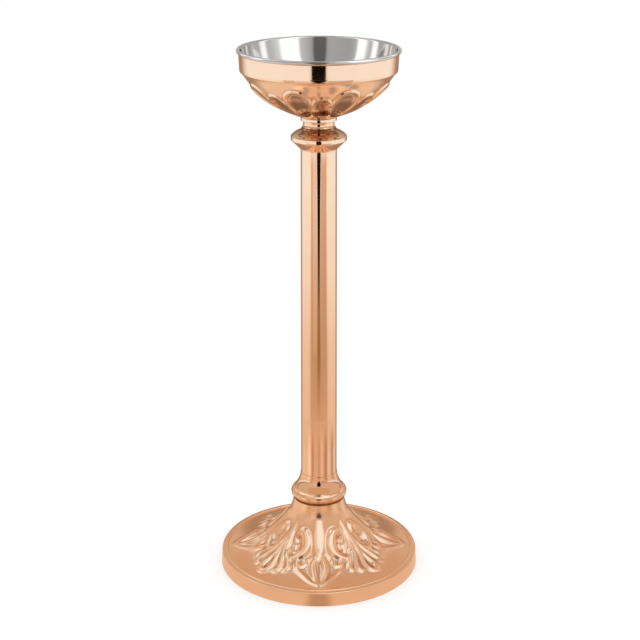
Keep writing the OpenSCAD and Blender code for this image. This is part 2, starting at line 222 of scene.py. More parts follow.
def mix_colour(tree, share, a, b, blend="MIX"):
    """Colour a where share is 0 and b where it is 1, or b blended over a."""
    node = add(tree, "ShaderNodeMix", data_type="RGBA", blend_type=blend)
    for socket, value in ((node.inputs[0], share), (node.inputs[6], a), (node.inputs[7], b)):
        if isinstance(value, bpy.types.NodeSocket):
            tree.links.new(value, socket)
        else:
            socket.default_value = value
    return node.outputs[2]


def object_point(tree):
    """Where a point lies in its object's own space."""
    return add(tree, "ShaderNodeTexCoord").outputs["Object"]


def split(tree, vector):
    """A vector's X, Y and Z."""
    return add(tree, "ShaderNodeSeparateXYZ", {"Vector": vector}).outputs


def noise(tree, where, scale, detail):
    """Noise from 0 to 1, most of it in NOISE_SPAN."""
    node = add(tree, "ShaderNodeTexNoise", {"Vector": where, "Scale": scale, "Detail": detail})
    return node.outputs["Fac"]


def new_material(name):
    """A material, its node tree and its shader."""
    material = bpy.data.materials.new(name)
    material.use_nodes = True
    tree = material.node_tree
    return material, tree, tree.nodes["Principled BSDF"]


print("noise lies mostly in", NOISE_SPAN)


# %% [markdown]
# ## What polished metal looks like close up
#
# A polished surface is never evenly bright. The buffing wheel leaves a faint haze in patches,
# and the lathe leaves hair-fine rings. Both effects belong to more than one metal here, so each
# is a node group. They put out values only, which feed the Roughness and the Bump of a shader.

# %% Group: buffing haze
PATCH_SHARE, SPECK_SHARE = 0.8, 0.2
PATCH_SPAN, SPECK_SPAN = (0.42, 0.7), (0.5, 0.75)  # what part of the noise shows
SPECK_SCALE = 420.0


def group(name, inputs, outputs):
    """An empty node group with its input and output nodes."""
    tree = bpy.data.node_groups.new(name, "ShaderNodeTree")
    number = "NodeSocketFloat"
    for label, default in inputs:
        socket = tree.interface.new_socket(name=label, in_out="INPUT", socket_type=number)
        socket.default_value = default
    for label in outputs:
        tree.interface.new_socket(name=label, in_out="OUTPUT", socket_type=number)
    return tree, tree.nodes.new("NodeGroupInput").outputs, tree.nodes.new("NodeGroupOutput").inputs


haze, given, out = group("Buffing haze", [("Roughness", 0.05), ("Haze", 0.04), ("Patch", 14.0)],
                         ["Roughness", "Tone"])
where = object_point(haze)
patches = noise(haze, where, given["Patch"], 3.0)
specks = noise(haze, where, SPECK_SCALE, 2.0)
uneven = calc(haze, "ADD", calc(haze, "MULTIPLY", ramp(haze, patches, *PATCH_SPAN), PATCH_SHARE),
              calc(haze, "MULTIPLY", ramp(haze, specks, *SPECK_SPAN), SPECK_SHARE))
hazed = calc(haze, "MULTIPLY_ADD", uneven, given["Haze"], given["Roughness"])
haze.links.new(hazed, out["Roughness"])
haze.links.new(patches, out["Tone"])
print(haze.name, "has", len(haze.nodes), "nodes")

# %% Group: lathe rings
rings, given, out = group("Lathe rings", [("Per metre", 900.0), ("Depth", 1.0)], ["Height"])
parts = split(rings, object_point(rings))
radius = calc(rings, "SQRT", calc(rings, "ADD", calc(rings, "MULTIPLY", parts["X"], parts["X"]),
                                  calc(rings, "MULTIPLY", parts["Y"], parts["Y"])))
across = add(rings, "ShaderNodeCombineXYZ", {"X": calc(rings, "ADD", radius, parts["Z"])})
grain = noise(rings, across.outputs["Vector"], given["Per metre"], 2.0)
rings.links.new(calc(rings, "MULTIPLY", grain, given["Depth"]), out["Height"])
print("groups:", [g.name for g in bpy.data.node_groups])

# %% [markdown]
# ## Rose brass
#
# The brass is copper-rich, so it is pinker than yellow brass. A bare metal's colour is its
# reflection colour, and it goes straight into Base Color with Metallic at 1. The embossed
# sheets also get painted shade: brown mixed into their creases and sunk hollows, where they
# would lie in shadow. A value stored on their points says where that is. Some turned pieces get
# a band of the same painted shade round one height, and there the height alone says where.

# %% Brass materials
ROSE_BRASS = (0.945, 0.68, 0.48, 1.0)
DEEP_BRASS = (0.88, 0.57, 0.36, 1.0)
# painted shade: the brown that stands for shadow in creases, hollows and shaded bands
SHADE_BROWN = (0.26, 0.115, 0.05, 1.0)
DEEPEST = 0.25         # share of the deeper brass in the middle of a patch
CREASE_SHADE_SPAN = (0.05, 0.95)
RING_BUMP = 0.00002    # metres
RING_STRENGTH = 0.3
ShadeBand = namedtuple("ShadeBand", "height reach share")  # metres, metres and how much painted shade at its height


def buffed(tree, roughness, haze_share):
    """Roughness and Tone from the haze group."""
    finish = add(tree, "ShaderNodeGroup", node_tree=haze)
    finish.inputs["Roughness"].default_value = roughness
    finish.inputs["Haze"].default_value = haze_share
    return finish.outputs["Roughness"], finish.outputs["Tone"]


def ringed_normal(tree, depth=1.0):
    """A normal with the rings of the lathe in it."""
    lathe = add(tree, "ShaderNodeGroup", node_tree=rings)
    lathe.inputs["Depth"].default_value = depth
    bump = add(tree, "ShaderNodeBump", {"Height": lathe.outputs["Height"], "Distance": RING_BUMP,
                                        "Strength": RING_STRENGTH})
    return bump.outputs["Normal"]


def brass(name, roughness, haze_share, ring_depth=0.0, crease_shade_share=0.0, shade_band=None):
    """Lacquered brass. The crease share says how much painted shade the creases of an embossed
    piece get.
    """
    material, tree, shader = new_material(name)
    hazed, tone = buffed(tree, roughness, haze_share)
    deep = ramp(tree, tone, *NOISE_SPAN, 0.0, DEEPEST, "LINEAR")
    colour = mix_colour(tree, deep, ROSE_BRASS, DEEP_BRASS)
    # painted shade in the creases and hollows, by the value stored on the points
    if crease_shade_share:
        crease_shade = add(tree, "ShaderNodeAttribute", attribute_name="crease_shade").outputs["Fac"]
        brown = calc(tree, "MULTIPLY", ramp(tree, crease_shade, *CREASE_SHADE_SPAN), crease_shade_share)
        colour = mix_colour(tree, brown, colour, SHADE_BROWN)
    # painted shade: a brown band round one height, for a shadow gap or a shaded cove
    if shade_band:
        height = split(tree, object_point(tree))["Z"]
        off = calc(tree, "ABSOLUTE", calc(tree, "SUBTRACT", height, shade_band.height))
        brown = ramp(tree, off, shade_band.reach, 0.0, 0.0, shade_band.share)
        colour = mix_colour(tree, brown, colour, SHADE_BROWN)
    tree.links.new(colour, shader.inputs["Base Color"])
    tree.links.new(hazed, shader.inputs["Roughness"])
    shader.inputs["Metallic"].default_value = 1.0
    if ring_depth:
        tree.links.new(ringed_normal(tree, ring_depth), shader.inputs["Normal"])
    return material


polished_brass = brass("Rose brass, turned", roughness=0.04, haze_share=0.02, ring_depth=0.4)
# bands of painted shade: collar and base where they meet, the knop's cove, the bowl towards its
# seat
collar_brass = brass("Rose brass, collar", roughness=0.04, haze_share=0.02, ring_depth=0.4,
                     shade_band=ShadeBand(height=0.1290, reach=0.0040, share=0.95))
knop_brass = brass("Rose brass, knop", roughness=0.05, haze_share=0.02, ring_depth=0.4,
                   shade_band=ShadeBand(height=0.8080, reach=0.0140, share=0.85))
drawn_brass = brass("Rose brass, drawn tube", roughness=0.05, haze_share=0.03)
base_brass = brass("Rose brass, embossed base", roughness=0.17, haze_share=0.05, crease_shade_share=0.75,
                   shade_band=ShadeBand(height=0.1285, reach=0.0030, share=0.95))
bowl_brass = brass("Rose brass, embossed bowl", roughness=0.05, haze_share=0.03, crease_shade_share=0.66,
                   shade_band=ShadeBand(height=0.8265, reach=0.0300, share=0.5))
print("brass:", [m.name for m in bpy.data.materials if m.name.startswith("Rose brass")])

# %% [markdown]
# ## Embossing
#
# Leaves on a pressed sheet are hammered or rolled into it, so they are part of the same skin.
# A bump map would lose the silhouette and the shadows, and carving each leaf as its own solid
# would add edges that a sheet doesn't have. So the spun skin is dense, and its points are moved
# along their normals by a height. The height comes from strokes, much as a chaser's tool leaves
# them: each stroke is a line of (angle, radius, half width, height), smoothed into a curve.
# One wedge is drawn, and the others are its turned and mirrored copies.

# %% Strokes
FAR_OFF = 9.0  # half widths, more than any stroke reaches
THINNEST = 0.3  # millimetres, the least half width
EDGE, FLANK = 1.3, 1.1  # where a stroke ends and how wide its flank is, in half widths


def smooth_line(points, per_span=8):
    """A Catmull-Rom line through rows of numbers."""
    p = np.array(points, float)
    p = np.vstack([2 * p[0] - p[1], p, 2 * p[-1] - p[-2]])
    t = np.linspace(0, 1, per_span, endpoint=False)[:, None]
    spans = [0.5 * (2 * b + (c - a) * t + (2 * a - 5 * b + 4 * c - d) * t ** 2
                    + (3 * b - a - 3 * c + d) * t ** 3)
             for a, b, c, d in zip(p, p[1:], p[2:], p[3:])]
    return np.vstack(spans + [p[-2:-1]])


def near_stroke(angle, radius, along, scale, line):
    """How near each point is to a stroke, from 0 on its line to 1 at its edge, and its height."""
    line = smooth_line(line)
    middle = line[:, 0].mean()
    px = np.interp(line[:, 1], scale[:, 0], scale[:, 1])
    py = line[:, 1] * np.radians(line[:, 0] - middle)
    x, y = along, radius * np.radians(angle - middle)
    best, height = np.full(x.shape, FAR_OFF), np.zeros(x.shape)
    for i in range(len(line) - 1):
        dx, dy = px[i + 1] - px[i], py[i + 1] - py[i]
        t = np.clip(((x - px[i]) * dx + (y - py[i]) * dy) / (dx * dx + dy * dy + 1e-9), 0, 1)
        half = line[i, 2] + (line[i + 1, 2] - line[i, 2]) * t
        off = np.hypot(x - px[i] - dx * t, y - py[i] - dy * t)
        u = off / np.maximum(half, THINNEST)
        closer = u < best
        best = np.where(closer, u, best)
        height = np.where(closer, line[i, 3] + (line[i + 1, 3] - line[i, 3]) * t, height)
    return best, height


def emboss(angle, radius, along, scale, strokes):
    """Height over the plain sheet. Ridges stand beside each other, bodies and hollows add up."""
    ridges, ground = np.zeros(angle.shape), np.zeros(angle.shape)
    for stroke in strokes:
        u, height = near_stroke(angle, radius, along, scale, stroke["line"])
        side = np.clip((EDGE - u) / FLANK, 0, 1)
        bump = side * side * (3 - 2 * side) * height
        kind = stroke.get("kind", "ridge")
        if kind == "ridge":
            ridges = np.maximum(ridges, bump)
        else:
            ground = ground + (bump if kind == "body" else -bump)
    return ridges + ground


smoothed = smooth_line([(0, 50, 4, 0), (0, 60, 4, 3), (0, 70, 4, 0)])
print("a stroke of 3 points is smoothed into", len(smoothed))

# %% Soften a grid
def blurred(grid, passes):
    """The grid softened by a few passes of a small kernel, with its borders mirrored."""
    for _ in range(passes):
        wide = np.pad(grid, 1, mode="reflect")
        rows = (wide[:-2] + 2 * wide[1:-1] + wide[2:]) / 4
        grid = (rows[:, :-2] + 2 * rows[:, 1:-1] + rows[:, 2:]) / 4
    return grid


spike = np.zeros((9, 9))
spike[4, 4] = 1
print("a spike of 1 is", round(blurred(spike, 5).max(), 3), "high after 5 passes")

# %% Raise the relief
FADE_IN, FADE_OUT = 4, 3   # millimetres over which the relief starts and ends
ROUND_ABOUT = 16           # passes that level the relief, to tell what lies below it


def raise_relief(bm, rows, strokes, wedge, columns, limits, softness, cavity, hollow):
    """Moves the skin's points along the outline's normals and marks where shade is painted.

    The relief lies between two radii, the limits. A point gets as much painted shade as it lies
    deep in a crease, up to the depth cavity, or below the plain sheet, up to the depth hollow.
    """
    rows = np.array(rows, float)
    along = length_along(rows)
    angle, radius = np.meshgrid(np.linspace(0, wedge, columns + 1), rows[:, 0])
    scale = np.column_stack([rows[:, 0], along])
    height = emboss(angle, radius, np.repeat(along[:, None], columns + 1, 1), scale, strokes)
    fade = np.clip((rows[:, 0] - limits[0]) / FADE_IN, 0, 1)
    fade = fade * np.clip((limits[1] - rows[:, 0]) / FADE_OUT, 0, 1)
    height = blurred(height * fade[:, None], softness)
    below = (blurred(height, ROUND_ABOUT) - height) / cavity
    # painted crease shade, from how deep a point lies in a crease or below the sheet
    crease_shade = np.clip(np.maximum(below, -height / hollow), 0, 1)
    run = np.gradient(rows, axis=0)
    run /= np.linalg.norm(run, axis=1)[:, None]
    side = 1 if run[:, 1].mean() > 0 else -1
    out_r, out_z = side * run[:, 1], -side * run[:, 0]
    crease_shade_layer = bm.verts.layers.float.new("crease_shade")
    row_of = bm.verts.layers.float["outline"]
    for vert in bm.verts:
        row = int(round(vert[row_of])) - 1
        if row < 0:
            continue
        x, y, z = vert.co
        column = int(round(math.degrees(math.atan2(y, x)) / wedge * columns))
        by = height[row, column] * MM
        grow = 1 + out_r[row] * by / math.hypot(x, y)
        vert.co = (x * grow, y * grow, z + out_z[row] * by)
        vert[crease_shade_layer] = crease_shade[row, column]
    print("relief from", round(height.min(), 1), "to", round(height.max(), 1), "mm")


# %% [markdown]
# ## The base
#
# The base is one pressed sheet. Its outline, from the inside out: a flat ring under the collar,
# a hollow bell curve, a ring bead, a step and an upright band. Four fleurons with a pointed leaf
# face front, back and sides, with a C-scroll either side, and four acanthus leaves stand on the
# diagonals between them. The pattern repeats every 90 degrees and mirrors every 45.

# %% Base outline
BASE_TOP = 128.0   # height of the ring under the collar
BAND_TOP = 25.5    # height of the step round the bell
BAND_FOOT = 1.0    # height of the band's lower edge
BASE_SHEET = 1.5
BELL_ROWS = 118    # steps along the bell curve
bell = evenly(cubic((46, 127), (52.05, 79.8), (95.6, 31.75), (167, BAND_TOP), CURVE_STEPS),
              BELL_ROWS)
bead = arc((169.5, BAND_TOP), 2.5, 168, 12, 8)
band_edge = arc((176, 23.5), 2, 90, 4, 4)
before = np.vstack([[[SPIGOT_HOLE, BASE_TOP], [40, BASE_TOP]], arc((45, 127), 1, 90, 20, 4)])
after = np.vstack([bead, [[174, BAND_TOP]], band_edge,
                   [[177.9, 20], [178.8, 10], [179.5, BAND_FOOT]]])
inner = set_in(evenly(np.vstack([bell[::8], [[176, 24.6], [179.5, BAND_FOOT]]]), 12), -BASE_SHEET)
inner[-1] = [178.0, BAND_FOOT]
under_top = BASE_TOP - BASE_SHEET
inner_rim = np.vstack([[[SPIGOT_HOLE, under_top], [43.6, under_top]], inner[1:]])
base_outline = np.vstack([before, bell, after, inner_rim[::-1]])
base_mark = np.zeros(len(base_outline))
base_mark[len(before):len(before) + len(bell)] = np.arange(len(bell)) + 1
print("bell length:", round(length_along(bell)[-1], 1), "mm,", len(base_outline), "points")

# %% Strokes of the fleuron, in a wedge from 0 to 45 degrees
fleuron = [
    # the core leaf
    {"line": [(0, 50, 8, 0), (0, 58, 13, 2.8), (0, 70, 15.5, 4.4), (0, 82, 13.5, 4.6),
              (0, 92, 8.5, 4.6), (0, 100, 4, 3.2)]},
    # half of the pointed leaf below it
    {"line": [(1.8, 92, 2.6, 2.6), (4.0, 102, 4.4, 4.8), (5.6, 113, 5.8, 5.8),
              (5.0, 124, 5.6, 5.4), (3.2, 137, 4.0, 4.0), (1.2, 149, 2.4, 2.8), (0, 155, 2, 2)]},
    # one arm of the pointed frame round that leaf
    {"line": [(22.0, 112, 2.0, 1.8), (18.0, 122, 2.6, 3.0), (13.4, 129.5, 2.8, 3.4),
              (9.2, 138.5, 2.8, 3.4), (4.4, 149, 2.6, 3.2), (0.2, 156, 2.6, 3.0)]},
    # the curl at the arm's end
    {"line": [(22.0, 101, 2.4, 2.6), (20.6, 110, 3.4, 3.8), (16.6, 114, 3.6, 4.0),
              (13.4, 109, 3.2, 3.4), (14.6, 101, 2.4, 2.2)]},
    # the C-scroll
    {"line": [(31, 78, 3.0, 3.0), (34, 73, 3.6, 3.8), (32.0, 66, 5.0, 4.8),
              (25.5, 63.5, 7.5, 5.6), (19, 68.5, 9.4, 6.2), (15.8, 78, 10.4, 6.6),
              (17.2, 89, 9.8, 6.4), (22.4, 97.5, 7.6, 5.6), (28.0, 103, 5.4, 4.6),
              (31.6, 100, 3.6, 3.4)]},
]
print(len(fleuron), "strokes in half a fleuron")

# %% Strokes of the acanthus leaf, and the swellings under both
acanthus = [
    {"line": [(45, 52, 4, 0), (45, 62, 7, 3.6), (45, 80, 7, 5.2), (44, 100, 5.6, 5.8),
              (42, 116, 4.6, 5.4), (41, 130, 4.4, 4.8), (42.4, 140, 4.6, 4.2),
              (45, 146, 4.6, 3.6)]},
    {"line": [(42, 66, 3.6, 3.0), (40.4, 84, 5.4, 5.2), (37.6, 102, 5.6, 5.8),
              (34.6, 116, 5.0, 5.2), (33.2, 127, 4.6, 4.4), (35.0, 134, 4.4, 3.6)]},
    {"line": [(36, 92, 3.6, 4.0), (32.0, 104, 5.0, 5.0), (28.4, 114, 5.0, 4.6),
              (26.6, 122, 4.4, 3.6), (28.4, 127, 4.0, 3.0)]},
]
leaf_bodies = [
    {"kind": "body", "line": [(45, 54, 8, 0.0), (43, 75, 15, 1.6), (41, 100, 24, 2.0),
                              (41, 122, 22, 1.4), (43, 138, 13, 0.6)]},
    {"kind": "body", "line": [(0, 54, 12, 0.0), (0, 75, 20, 1.4), (0, 105, 22, 1.4),
                              (0, 130, 14, 0.8), (0, 150, 6, 0)]},
]
scroll_eyes = [
    {"kind": "hollow", "line": [(26.0, 79, 4.0, 2.0), (26.5, 87, 4.4, 2.0)]},
]
base_strokes = leaf_bodies + fleuron + acanthus + scroll_eyes
print(len(base_strokes), "strokes on the base")

# %% Spin the base and raise its leaves
BASE_TURNS, BASE_WEDGES = 592, 8
bm = swing(base_outline, BASE_TURNS, mark=base_mark, wedges=BASE_WEDGES)
raise_relief(bm, bell, base_strokes, 360 / BASE_WEDGES, BASE_TURNS // BASE_WEDGES,
             limits=(50, 161), softness=5, cavity=1.8, hollow=4.0)
complete(bm, BASE_WEDGES // 2)
place("EmbossedBase", bm, "stand", base_brass, "embossed_brass", "base_shell")

# %% [markdown]
# ## Collar, tube, knop and neck
#
# These four are turned or drawn, with no ornament, so what shows is how cleanly they reflect.
# Every sharp corner of turned brass has a small rounding that catches a line of light, so the
# outlines carry short arcs where the CAD outline has corners. The tube is drawn a little
# narrower towards the top.

# %% Collar
TURNS = 224  # steps round a plain turned piece
collar_outline = np.vstack([
    [[SPIGOT_HOLE, BASE_TOP], [44.5, BASE_TOP]],
    arc((40.7, 138.5), 9.5, -65, 72, 28),
    cubic((43.64, 148.0), (39.5, 156.4), (33.2, 163.3), (33.1, 177.6), 28),
    [[32.9, 178], [32.3, 178], [32.3, 134], [SPIGOT_HOLE, 134]]])
place("TurnedCollar", swing(collar_outline, TURNS), "stand", collar_brass, "polished_brass",
      "lower_collar")

# %% Tube
TUBE_WALL = 1.5
DRAWN_IN = 1.7  # how much less the radius is at the head
tube_low, tube_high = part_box("stem_tube")
tube_r, tube_foot, tube_head = tube_high.x / MM, tube_low.z / MM, tube_high.z / MM
head_r = tube_r - DRAWN_IN
tube_outline = np.vstack([
    [[tube_r - DRAWN_IN * (z - tube_foot) / (tube_head - tube_foot), z]
     for z in np.linspace(tube_foot, tube_head, 14)],
    [[head_r - TUBE_WALL, tube_head], [tube_r - TUBE_WALL, tube_foot]]])
place("StemTube", swing(tube_outline, TURNS), "stand", drawn_brass, "polished_brass", "stem_tube")

# %% Knop
knop_outline = np.vstack([
    [[SPIGOT_HOLE, 771]], arc((31.05, 771.4), 0.4, -90, 0, 3), [[31.45, 772.4]],
    [[32.8, 773.4], [45.8, 786.2]],
    arc((46.4, 788.2), 1.0, -45, 0, 4),
    arc((46.4, 794.0), 1.0, 0, 60, 4),
    cubic((46.4, 795), (39.2, 804), (31.6, 801.2), (28.5, 809.0), 14),
    [[28, 809.5], [ROD_HOLE, 809.5], [ROD_HOLE, 806], [25, 806], [41.5, 793], [41.5, 789],
     [28.1, 774.5], [SPIGOT_HOLE, 774.5]]])
place("Knop", swing(knop_outline, TURNS), "stand", knop_brass, "polished_brass", "upper_knop")

# %% Neck
neck_outline = np.vstack([
    [[18, 809.5], [27.4, 809.5]],
    cubic((27.5, 810), (25.9, 811.8), (25.9, 817.6), (27, 820.0), 12),
    [[29.6, 820.4]], arc((29.9, 821.1), 0.6, -70, 0, 4), arc((29.9, 825.9), 0.6, 0, 90, 4),
    [[ROD_HOLE, 826.5], [ROD_HOLE, 822.5], [18, 822.5]]])
place("Neck", swing(neck_outline, TURNS), "stand", polished_brass, "polished_brass", "neck_spool")

# %% [markdown]
# ## The bowl
#
# The bowl is spun from sheet and chased like the base. Eight large and eight small round-headed
# arches alternate round it. Each has a raised rim and a hollowed inside whose flutes run down to
# the seat, and the inner skin of the sheet follows them. A crease sets off the plain band above.

# %% Bowl outline
SEAT = 826.5
BOWL_SHEET = 1.2
BODY_ROWS = 84
RIM = 932.7
body = evenly(cubic((31, 827), (105, 853.2), (115.8, 887.5), (129.6, 902.7), CURVE_STEPS),
              BODY_ROWS)
band = np.vstack([[[129.9, 903.0], [130.9, 903.6], [131.3, 904.6]],
                  evenly([(131.3, 904.6), (132.7, RIM)], 5)[1:]])
bowl_start = [[ROD_HOLE, SEAT], [30.4, SEAT]]
inner_band = [[131.5, RIM], [130.1, 905.0]]
bowl_end = [[30.0, SEAT + BOWL_SHEET], [ROD_HOLE, SEAT + BOWL_SHEET]]
body_rows = np.arange(len(body))
inner_rows = body_rows[6::2][::-1]
bowl_outline = np.vstack([bowl_start, body, band, inner_band,
                          set_in(body, BOWL_SHEET)[inner_rows], bowl_end])
bowl_mark = np.concatenate([np.zeros(len(bowl_start)), body_rows + 1,
                            np.zeros(len(band) + len(inner_band)), inner_rows + 1,
                            np.zeros(len(bowl_end))])
print("bowl outline:", len(bowl_outline), "points")

# %% Strokes of the arches: 0 degrees is a small arch's middle, 22.5 a large arch's
arches = [
    # the hollowed insides, large and small
    {"kind": "body", "line": [(22.5, 104, 16.5, -2.3), (22.5, 92, 17, -2.5), (22.5, 74, 13.5, -2.3),
                              (22.5, 58, 9.5, -1.4), (22.5, 42, 6, 0)]},
    {"kind": "body", "line": [(0, 98, 11, -2.4), (0, 88, 11, -2.6), (0, 72, 8.5, -1.8),
                              (0, 56, 6, -0.9), (0, 42, 4, 0)]},
    # the raised rims, large and small
    {"line": [(22.5, 118.5, 3.4, 2.8), (18.0, 117.2, 3.4, 2.8), (13.6, 112.2, 3.3, 2.8),
              (11.0, 104, 3.2, 2.6), (10.2, 93, 3.0, 2.4), (10.6, 78, 2.8, 1.8),
              (11.0, 62, 2.8, 0.9), (11.2, 46, 2.4, 0)]},
    {"line": [(0, 110, 3.2, 2.8), (4.0, 108.6, 3.2, 2.8), (7.4, 103.2, 3.1, 2.8),
              (8.8, 95, 2.8, 2.4)]},
]
BOWL_TURNS, BOWL_WEDGES = 640, 16
BOWL_TURNED_BY = 3  # degrees
bm = swing(bowl_outline, BOWL_TURNS, mark=bowl_mark, wedges=BOWL_WEDGES)
raise_relief(bm, body, arches, 360 / BOWL_WEDGES, BOWL_TURNS // BOWL_WEDGES,
             limits=(42, 126), softness=1, cavity=1.4, hollow=2.0)
complete(bm, BOWL_WEDGES // 2, turn_by=BOWL_TURNED_BY)
place("EmbossedBowl", bm, "stand", bowl_brass, "bowl_brass", "bowl_shell")

# %% [markdown]
# ## The liner
#
# The liner is spun stainless steel with its lip rolled outwards over the bowl's rim. It is a
# separate pan that lifts out for washing, so it rides on its own body. Its outline is the water
# side, offset by the thickness of the sheet, with the roll as a hollow curl.

# %% Liner outline
LINER_SHEET = 0.8
CLEAR_OF_BOWL = 5.0   # millimetres inside the bowl's outer skin
PAN_TO = 117          # radius where the pan's curve turns up into the wall
liner_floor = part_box("bowl_liner")[0].z / MM + LINER_SHEET
pan = set_in(body, CLEAR_OF_BOWL)
pan = pan[(pan[:, 1] > liner_floor + 1) & (pan[:, 0] < PAN_TO)]
pan = pan[(len(pan) - 1) % 3::3]
pan_r = pan[0][0]
water_side = np.vstack([
    [[0, liner_floor], [pan_r - 12, liner_floor], [pan_r - 5, liner_floor + 0.1],
     [pan_r - 2, liner_floor + 0.5]],
    pan, cubic(pan[-1], pan[-1] + (3.2, 3.3), (123.4, 904.0), (129.4, 936.5), 12)[1:],
    arc((132.9, 936.5), 3.5, 180, -105, 22)[1:]])
under_side = set_in(water_side, -LINER_SHEET)
under_side[0] = [0, liner_floor - LINER_SHEET]
liner_outline = np.vstack([water_side, under_side[::-1]])
print("liner floor at", round(liner_floor, 1), "mm,", len(liner_outline), "points")

# %% Liner
LINER_TURNS = 256
PALE_STEEL, DEEP_STEEL = (0.70, 0.68, 0.665, 1), (0.63, 0.61, 0.60, 1)
steel, tree, shader = new_material("Stainless steel, spun")
hazed, tone = buffed(tree, roughness=0.06, haze_share=0.03)
steel_tone = ramp(tree, tone, *NOISE_SPAN, shape="LINEAR")
tree.links.new(mix_colour(tree, steel_tone, PALE_STEEL, DEEP_STEEL), shader.inputs["Base Color"])
tree.links.new(hazed, shader.inputs["Roughness"])
tree.links.new(ringed_normal(tree), shader.inputs["Normal"])
shader.inputs["Metallic"].default_value = 1.0
place("SteelLiner", swing(liner_outline, LINER_TURNS, closed=False), "liner", steel,
      "stainless_liner", "bowl_liner")

# %% [markdown]
# ## The hidden parts
#
# Under the base are a felt disc, a steel plate with screws and a cast ballast, and a tie rod
# with nuts, washers and two plugs runs up the middle. They come from the CAD model as they are,
# and each gets its own finish. Only the upper plug is turned down here, to fit the drawn tube.

# %% Finishes of the hidden metals
CLOUD_SCALE = 30.0
GRAIN_SPAN = (0.2, 0.8)
SHINIER, DULLER = 0.08, 0.1  # how far the roughness strays
GRAIN_STRENGTH = 0.6


def plain_metal(name, colour, other, roughness, grain_scale, bump_depth, metallic=1.0):
    """A dull metal with a clouded colour and a fine grain."""
    material, tree, shader = new_material(name)
    where = object_point(tree)
    cloud = ramp(tree, noise(tree, where, CLOUD_SCALE, 4.0), *NOISE_SPAN)
    grain = noise(tree, where, grain_scale, 3.0)
    dull = ramp(tree, grain, *GRAIN_SPAN, roughness - SHINIER, roughness + DULLER, "LINEAR")
    bump = add(tree, "ShaderNodeBump", {"Height": grain, "Distance": bump_depth,
                                        "Strength": GRAIN_STRENGTH})
    tree.links.new(mix_colour(tree, cloud, colour, other), shader.inputs["Base Color"])
    tree.links.new(dull, shader.inputs["Roughness"])
    tree.links.new(bump.outputs["Normal"], shader.inputs["Normal"])
    shader.inputs["Metallic"].default_value = metallic
    return material


zinc = plain_metal("Zinc plate", (0.55, 0.56, 0.58, 1), (0.46, 0.48, 0.52, 1),
                   roughness=0.34, grain_scale=300.0, bump_depth=0.00002)
iron = plain_metal("Cast iron", (0.045, 0.045, 0.048, 1), (0.07, 0.062, 0.056, 1),
                   roughness=0.62, grain_scale=600.0, bump_depth=0.0003, metallic=0.6)
alloy = plain_metal("Turned aluminium", (0.78, 0.79, 0.80, 1), (0.70, 0.71, 0.73, 1),
                    roughness=0.28, grain_scale=500.0, bump_depth=0.00002)
print("metals:", zinc.name, iron.name, alloy.name)

# %% Felt
WOOL = (0.012, 0.045, 0.024, 1)
PALE_WOOL = (0.022, 0.07, 0.038, 1)
LOOSE_FIBRE = (0.06, 0.12, 0.08, 1)
FIBRE_SCALE, CLUMP_SCALE = 900.0, 60.0
FIBRE_SPAN, MOST_LOOSE = (0.45, 0.75), 0.5
FIBRE_DEPTH, FIBRE_STRENGTH = 0.0006, 0.8
felt, tree, shader = new_material("Wool felt")
where = object_point(tree)
fibre = noise(tree, where, FIBRE_SCALE, 5.0)
clump = ramp(tree, noise(tree, where, CLUMP_SCALE, 3.0), *NOISE_SPAN)
wool = mix_colour(tree, clump, WOOL, PALE_WOOL)
wool = mix_colour(tree, ramp(tree, fibre, *FIBRE_SPAN, 0, MOST_LOOSE), wool, LOOSE_FIBRE)
bump = add(tree, "ShaderNodeBump", {"Height": fibre, "Distance": FIBRE_DEPTH,
                                    "Strength": FIBRE_STRENGTH})
tree.links.new(wool, shader.inputs["Base Color"])
tree.links.new(bump.outputs["Normal"], shader.inputs["Normal"])
shader.inputs["Roughness"].default_value = 0.95
shader.inputs["Sheen Weight"].default_value = 0.25
print("felt:", felt.name)

# %% The upper plug
PLUG_GAP = 0.15   # millimetres between the plug and the tube
SPIGOT_R = 14.9
CHAMFER = 0.5
PLUG_TURNS = 96
plug_low, plug_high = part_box("stem_upper_plug")
plug_bottom, plug_top = plug_low.z / MM, plug_high.z / MM
plug_r = head_r - TUBE_WALL - PLUG_GAP
plug_outline = [[ROD_HOLE, plug_bottom], [plug_r - CHAMFER, plug_bottom],
                [plug_r, plug_bottom + CHAMFER], [plug_r, tube_head], [SPIGOT_R, tube_head],
                [SPIGOT_R, plug_top - CHAMFER], [SPIGOT_R - CHAMFER, plug_top],
                [ROD_HOLE, plug_top]]
place("UpperPlug", swing(plug_outline, PLUG_TURNS), "stand", alloy, "turned_aluminium",
      "stem_upper_plug")

# %% Give each CAD node its finish
finishes = {
    "felt_disc": felt, "base_plate": zinc, "base_plate_screws": zinc, "base_weight": iron,
    "base_nut": zinc, "base_spring_washer": zinc, "base_washer": zinc, "tie_rod": zinc,
    "bowl_washer": zinc, "bowl_spring_washer": zinc, "bowl_nut": zinc,
    "stem_lower_plug": alloy, "stem_upper_plug": alloy, "base_shell": base_brass,
    "lower_collar": collar_brass, "stem_tube": drawn_brass, "upper_knop": knop_brass,
    "neck_spool": polished_brass, "bowl_shell": bowl_brass, "bowl_liner": steel,
}
for name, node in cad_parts.items():
    for index in range(max(1, len(node.material_slots))):
        if not node.material_slots:
            node.data.materials.append(finishes[name])
        node.material_slots[index].material = finishes[name]
print("finished", len(finishes), "CAD nodes")

# %% [markdown]
# ## The studio
#
# Polished metal has no look of its own: it shows the room. So the room is designed. The camera
# and the eye see only white, and reflections see a second room with warm walls, a dim back, a
# warm ceiling and soft white windows. A direction in it is a bearing, which is 0 straight ahead
# of the stoup and positive to its right, and a rise over the horizon, both in degrees.

